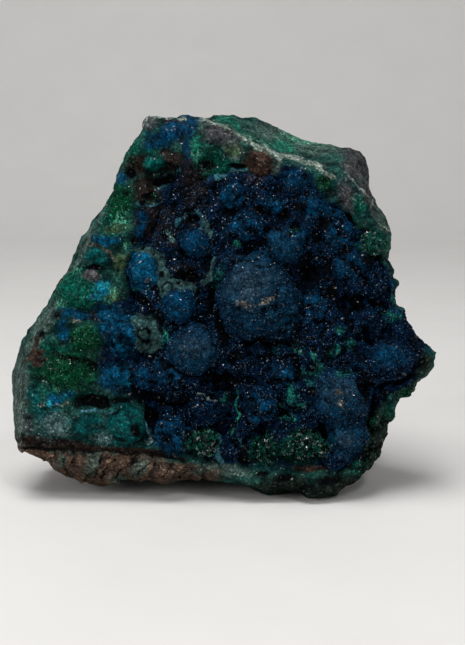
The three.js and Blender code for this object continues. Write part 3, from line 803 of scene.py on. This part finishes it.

# Minerals, and marks of painted shade and painted highlight, in the order they lie on each other: the mask's
# name, a dark and a light tone, how ragged and how soft the patch's edge is, how thickly it covers its patch
# and how many of the edge's waves go into a metre
MINERALS = [
    ("rim", (24, 38, 35), (72, 92, 86), 1.2, 0.4, 0.0, 800.0),
    ("teal", (1, 24, 27), (6, 72, 72), 1.8, 0.5, 0.0, 800.0),
    ("malachite", (1, 30, 25), (5, 82, 68), 1.4, 0.5, 0.0, 800.0),
    ("green_field", (1, 18, 10), (4, 60, 34), 1.4, 0.5, 0.0, 800.0),
    ("leaf", (8, 52, 42), (36, 116, 94), 2.0, 0.5, 0.0, 700.0),
    ("olive", (24, 42, 30), (78, 102, 68), 2.4, 0.4, -0.2, 1200.0),
    ("slate", (28, 30, 31), (68, 70, 72), 1.2, 0.5, 0.0, 800.0),
    ("blue", (1, 4, 9), (2, 22, 46), 1.4, 0.4, 0.0, 800.0),
    ("umber", (6, 6, 8), (32, 26, 27), 2.0, 0.4, 0.0, 1000.0),
    ("moss", (2, 7, 6), (26, 38, 31), 1.6, 0.4, 0.0, 800.0),
    ("brown", (22, 16, 14), (66, 50, 43), 1.2, 0.3, 0.0, 800.0),
    ("vug", (4, 4, 4), (38, 32, 28), 1.4, 0.4, 0.0, 900.0),
    ("disc", (1, 44, 42), (10, 92, 86), 1.2, 0.3, 0.0, 800.0),
    ("ledge", (5, 4, 3), (34, 26, 22), 0.8, 0.25, 0.1, 700.0),
    ("matrix", (37, 28, 23), (82, 66, 55), 0.8, 0.25, 0.0, 700.0),
    ("grey_vein", (30, 38, 34), (80, 90, 82), 2.0, 0.4, 0.0, 800.0),
    ("azure", (1, 22, 38), (3, 76, 107), 1.6, 0.5, 0.1, 1000.0),
    ("bright_blue", (1, 15, 30), (2, 56, 86), 1.8, 0.5, 0.1, 1000.0),
    ("steel", (2, 20, 36), (12, 54, 78), 1.4, 0.5, 0.0, 800.0),
    # Painted sheen on the balls' tops
    ("painted_top_sheen", (14, 34, 47), (46, 62, 74), 5.0, 0.6, -0.5, 1800.0),
    ("cyan", (5, 78, 104), (36, 150, 166), 2.2, 0.4, -0.1, 1200.0),
    ("mint", (10, 82, 64), (84, 156, 128), 5.0, 0.4, -0.8, 1500.0),
    ("verdigris", (2, 40, 40), (32, 110, 98), 5.0, 0.4, -0.35, 1700.0),
    ("green_druse", (2, 13, 10), (9, 52, 42), 1.4, 0.3, 0.0, 800.0),
    ("grey_skin", (28, 50, 51), (55, 84, 83), 1.2, 0.25, 0.2, 800.0),
    ("frost", (18, 44, 46), (84, 106, 107), 3.6, 0.4, -0.35, 1500.0),
    ("blue_arc", (14, 48, 58), (56, 100, 110), 1.4, 0.5, 0.1, 800.0),
    # Painted highlight along the ridges and edges
    ("pale", (58, 76, 68), (140, 150, 142), 4.4, 0.6, -0.2, 1000.0),
    ("vein", (8, 58, 44), (34, 112, 88), 2.2, 0.5, 0.0, 800.0),
    ("brown_edge", (34, 32, 28), (84, 78, 68), 2.4, 0.5, -0.1, 800.0),
    ("tan", (58, 54, 47), (158, 148, 130), 6.0, 0.4, -0.6, 1500.0),
    ("pebble", (22, 22, 24), (92, 89, 92), 1.2, 0.3, 0.0, 1200.0),
    # Near-black painted shade in the pits, hollows and under the balls
    ("dark", (1, 1, 2), (3, 6, 8), 1.4, 0.5, 0.0, 1000.0),
    # Painted shadow in the grooves under the balls
    ("gap_with_painted_shadow", (1, 1, 2), (2, 4, 7), 2.0, 0.6, -0.1, 1000.0),
    ("hole_rim", (1, 2, 3), (4, 8, 9), 1.4, 0.5, 0.0, 1000.0),
    # Dark cracks, and the painted shadow line under the ledge
    ("crack_and_painted_ledge_shadow", (4, 3, 3), (22, 17, 15), 2.4, 0.6, -0.1, 800.0),
]


def new_material(name):
    material = bpy.data.materials.new(name)
    material.use_nodes = True
    tree = material.node_tree
    return material, tree, tree.nodes["Principled BSDF"]


def minerals(tree, colour):
    """Lays ragged patches of mineral, painted shade and painted highlight over a colour. Each has two tones
    that change over its surface.
    """
    waver = ramped(tree, speckle(tree, 380.0, 8.0, 0.75), 0.36, 0.64)
    for name, dark, light, ragged, soft, cover, scale in MINERALS:
        patch = {"Scale": scale, "Ragged": ragged, "Soft": soft, "Cover": cover}
        covered = use(tree, RAGGED, {"Mask": mask_socket(tree, name), **patch})["Mask"]
        colour = mixed(tree, covered, colour, mixed(tree, waver, tone(*dark), tone(*light)))
    return colour


def rock_material():
    material, tree, shader = new_material("copper_stained_rock")
    broken = mixed(tree, ramped(tree, speckle(tree, 250.0), 0.35, 0.65), tone(40, 32, 27), tone(88, 74, 63))
    rust = mixed(tree, speckle(tree, 500.0), tone(44, 26, 16), tone(112, 78, 50))
    broken = mixed(tree, ramped(tree, speckle(tree, 75.0, 6.0, 0.7), 0.5, 0.62, 0.0, 0.7), broken, rust)
    grey = mixed(tree, speckle(tree, 600.0), tone(48, 48, 46), tone(112, 110, 104))
    broken = mixed(tree, ramped(tree, speckle(tree, 55.0, 7.0, 0.7), 0.48, 0.4, 0.0, 0.7), broken, grey)
    skin = mixed(tree, ramped(tree, speckle(tree, 200.0), 0.4, 0.62), tone(5, 34, 32), tone(32, 71, 64))
    patch = {"Mask": mask_socket(tree, "skin"), "Scale": 250.0, "Ragged": 1.6, "Soft": 0.15, "Cover": 0.0}
    colour = minerals(tree, mixed(tree, use(tree, RAGGED, patch)["Mask"], broken, skin))
    relief = mask_socket(tree, "relief")
    # Painted shade in the hollows and painted highlight on the raised places, from the height above the
    # smoothed form
    colour = mixed(tree, ramped(tree, relief, 0.0, -0.4, 0.0, 0.8), colour, tone(5, 7, 8))
    colour = mixed(tree, 1.0, colour, ramped(tree, relief, 0.1, 0.8, 1.0, 1.7), "MULTIPLY")
    grain = use(tree, GRAIN, {"Scale": 1400.0, "Contrast": 1.6})
    colour = mixed(tree, 1.0, colour, grain["Shade"], "MULTIPLY")
    bump = add(tree, "ShaderNodeBump", {"Height": grain["Height"], "Strength": 0.7, "Distance": 0.35 * MM})
    facets = use(tree, GLINTS, {"Scale": 2000.0, "Tilt": 0.4, "Share": 0.08, "Normal": bump.outputs[0]})
    colour = mixed(tree, 0.6, colour, mixed(tree, 1.0, colour, facets["Shade"], "MULTIPLY"))
    tree.links.new(colour, shader.inputs["Base Color"])
    tree.links.new(facets["Normal"], shader.inputs["Normal"])
    tree.links.new(maths(tree, "MULTIPLY", facets["Mask"], 0.6), shader.inputs["Coat Weight"])
    shader.inputs["Coat Roughness"].default_value = 0.15
    shader.inputs["Roughness"].default_value = 0.6
    shader.inputs["Specular IOR Level"].default_value = 0.025
    return material


def crust_material():
    material, tree, shader = new_material("cornetite")
    relief = mask_socket(tree, "relief")
    # Painted shade: near black in the low places, blue on the raised ones
    deep = mixed(tree, ramped(tree, relief, -0.4, 0.7), tone(1, 3, 7), tone(2, 50, 92))
    colour = minerals(tree, deep)
    # Painted shade in the sunk pockets
    colour = mixed(tree, ramped(tree, mask_socket(tree, "gloom"), 0.0, 1.0, 0.0, 0.8), colour, tone(1, 2, 4))
    # More painted shade in the low places and in the fine crevices
    colour = mixed(tree, ramped(tree, relief, -0.05, -0.7, 0.0, 0.85), colour, tone(1, 2, 5))
    crevice = ramped(tree, mask_socket(tree, "crevice"), 0.0, -0.16, 0.0, 0.85)
    colour = mixed(tree, crevice, colour, tone(1, 2, 4))
    grain = use(tree, GRAIN, {"Scale": 2400.0, "Contrast": 1.8})
    colour = mixed(tree, 1.0, colour, grain["Shade"], "MULTIPLY")
    bump = add(tree, "ShaderNodeBump", {"Height": grain["Height"], "Strength": 0.8, "Distance": 0.3 * MM})
    facets = use(tree, GLINTS, {"Scale": 2300.0, "Tilt": 0.6, "Share": 0.04, "Normal": bump.outputs[0]})
    colour = mixed(tree, 0.6, colour, mixed(tree, 1.0, colour, facets["Shade"], "MULTIPLY"))
    tree.links.new(colour, shader.inputs["Base Color"])
    tree.links.new(facets["Normal"], shader.inputs["Normal"])
    tree.links.new(facets["Mask"], shader.inputs["Coat Weight"])
    shader.inputs["Coat Roughness"].default_value = 0.12
    shader.inputs["Roughness"].default_value = 0.55
    shader.inputs["Specular IOR Level"].default_value = 0.02
    return material


def crystal_material(name, dark, light, frosted, share):
    """Glassy little crystals, most of them dark, some light and a few frosted. A share of them shines."""
    material, tree, shader = new_material(name)
    spark = mask_socket(tree, "spark")
    colour = mixed(tree, ramped(tree, spark, 0.3, 0.9), tone(*dark), tone(*light))
    colour = mixed(tree, ramped(tree, spark, 0.9, 0.94), colour, tone(*frosted))
    grain = use(tree, GRAIN, {"Scale": 1200.0, "Contrast": 2.0})
    tree.links.new(mixed(tree, 1.0, colour, grain["Shade"], "MULTIPLY"), shader.inputs["Base Color"])
    tree.links.new(maths(tree, "LESS_THAN", spark, share), shader.inputs["Coat Weight"])
    shader.inputs["Coat Roughness"].default_value = 0.05
    shader.inputs["Coat IOR"].default_value = 1.8
    shader.inputs["Roughness"].default_value = 0.5
    shader.inputs["Specular IOR Level"].default_value = 0.02
    return material


def belongs(piece, slot, material, *nodes):
    """Puts a piece on the specimen, in place of the CAD nodes that are named."""
    piece.data.materials.append(material)
    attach(piece, "root")
    if nodes:
        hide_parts(*nodes)


# The specimen

rock, rock_surface = make_rock()
belongs(rock, "host_rock", rock_material(), "host_rock")
crust, crust_surface = make_crust()
belongs(crust, "cornetite_crust", crust_material(), "cornetite_crust")

blue_crystals = crystal_material("blue_crystals", (1, 4, 9), (16, 64, 98), (84, 108, 128), 0.1)
green_crystals = crystal_material("green_crystals", (1, 14, 9), (10, 82, 58), (64, 116, 98), 0.08)
dark_crystals = crystal_material("dark_green_crystals", (2, 11, 9), (13, 68, 55), (80, 108, 98), 0.3)

# How thickly crystals stand on the crust: thinly on the proud places and on those painted as shade, and
# hardly on bare skin
open_side = ease(crust_surface.facing(), -0.1, 0.2)
greenness = crust_surface.inside("green_druse", -0.05, 0.2)
plain = 1.2 - 0.7 * crust_surface.inside("steel", -0.1, 0.3) - 1.2 * crust_surface.inside("dark", -0.2, 0.3)
plain = np.maximum(plain - 0.5 * crust_surface.inside("bright_blue", -0.1, 0.3), 0.1)
bare = [crust_surface.inside(name, -0.3, 0.1) for name in ("grey_skin", "blue_arc", "vein", "tan")]
bare += [0.7 * crust_surface.inside(name, -0.1, 0.3) for name in ("azure", "verdigris")]
thick = plain * open_side * (1 - greenness) * (1 - np.max(bare, axis=0))
thick *= 1 - 0.7 * crust_surface.masks["gloom"]
blue_druse = sow_crystals(crust, "blue_druse", 32000, thick, (0.18, 0.45), 5)
belongs(blue_druse, "cornetite_crust", blue_crystals)
green_druse = sow_crystals(crust, "green_druse", 1300, open_side * greenness, (0.5, 1.3), 6)
belongs(green_druse, "cornetite_crust", dark_crystals)

# Crystals on the rock
thick = rock_surface.inside("green_druse", -0.05, 0.2)
belongs(sow_crystals(rock, "green_knob", 900, thick, (0.4, 1.0), 9), "host_rock", dark_crystals)
thick = rock_surface.inside("blue", -0.15, 0.2)
belongs(sow_crystals(rock, "blue_fringe", 8000, thick, (0.2, 0.5), 7), "host_rock", blue_crystals)
thick = 0.4 * rock_surface.inside("malachite", -0.1, 0.3)
thick = np.maximum(thick, rock_surface.inside("green_field", -0.1, 0.3))
belongs(sow_crystals(rock, "green_fields", 8000, thick, (0.18, 0.45), 8), "host_rock", green_crystals)


# Floor, light and camera

def make_floor():
    """A pale floor that sweeps up behind the specimen."""
    half_width, front, bend, top = 1.2, -0.9, 0.55, 1.2
    radius = 0.35
    profile = [(front, 0)]
    for step in range(13):
        angle = math.radians(90 * step / 12)
        profile.append((bend + radius * math.sin(angle), radius * (1 - math.cos(angle))))
    profile.append((bend + radius, top))
    places = [(x, y, z) for y, z in profile for x in (-half_width, half_width)]
    faces = [(2 * i, 2 * i + 1, 2 * i + 3, 2 * i + 2) for i in range(len(profile) - 1)]
    mesh = bpy.data.meshes.new("floor")
    mesh.from_pydata(places, [], faces)
    mesh.shade_smooth()
    floor = bpy.data.objects.new("floor", mesh)
    bpy.context.scene.collection.objects.link(floor)
    material, tree, shader = new_material("pale_floor")
    shade = mixed(tree, speckle(tree, 25.0), tone(206, 204, 201), tone(214, 212, 209))
    tree.links.new(shade, shader.inputs["Base Color"])
    shader.inputs["Roughness"].default_value = 0.8
    floor.data.materials.append(material)


def make_light(name, place, size, power):
    """A soft square light that faces the specimen's middle."""
    light = bpy.data.lights.new(name, "AREA")
    light.size = size
    light.energy = power
    lamp = bpy.data.objects.new(name, light)
    bpy.context.scene.collection.objects.link(lamp)
    lamp.location = place
    lamp.rotation_euler = (Vector(LOOK_AT) - Vector(place)).to_track_quat("-Z", "Y").to_euler()


def make_camera():
    camera = bpy.data.cameras.new("camera")
    camera.lens = LENS
    camera.sensor_width = SENSOR
    holder = bpy.data.objects.new("camera", camera)
    bpy.context.scene.collection.objects.link(holder)
    holder.location = CAMERA_PLACE
    holder.rotation_euler = (math.radians(90) - LOOK_DOWN, 0, 0)
    bpy.context.scene.camera = holder


make_floor()
make_light("sky_light", (-0.15, -0.2, 0.95), 0.6, 9)
make_light("side_light", (-0.7, -0.6, 0.4), 0.4, 3)
make_light("fill_light", (0.7, -0.6, 0.35), 0.5, 1.5)
make_light("spark_light", (0.25, -0.7, 0.75), 0.12, 1.6)
world = bpy.data.worlds.new("studio")
world.use_nodes = True
world.node_tree.nodes["Background"].inputs["Color"].default_value = (0.8, 0.82, 0.85, 1)
world.node_tree.nodes["Background"].inputs["Strength"].default_value = 0.2
bpy.context.scene.world = world
bpy.context.scene.view_settings.view_transform = "Standard"
make_camera()
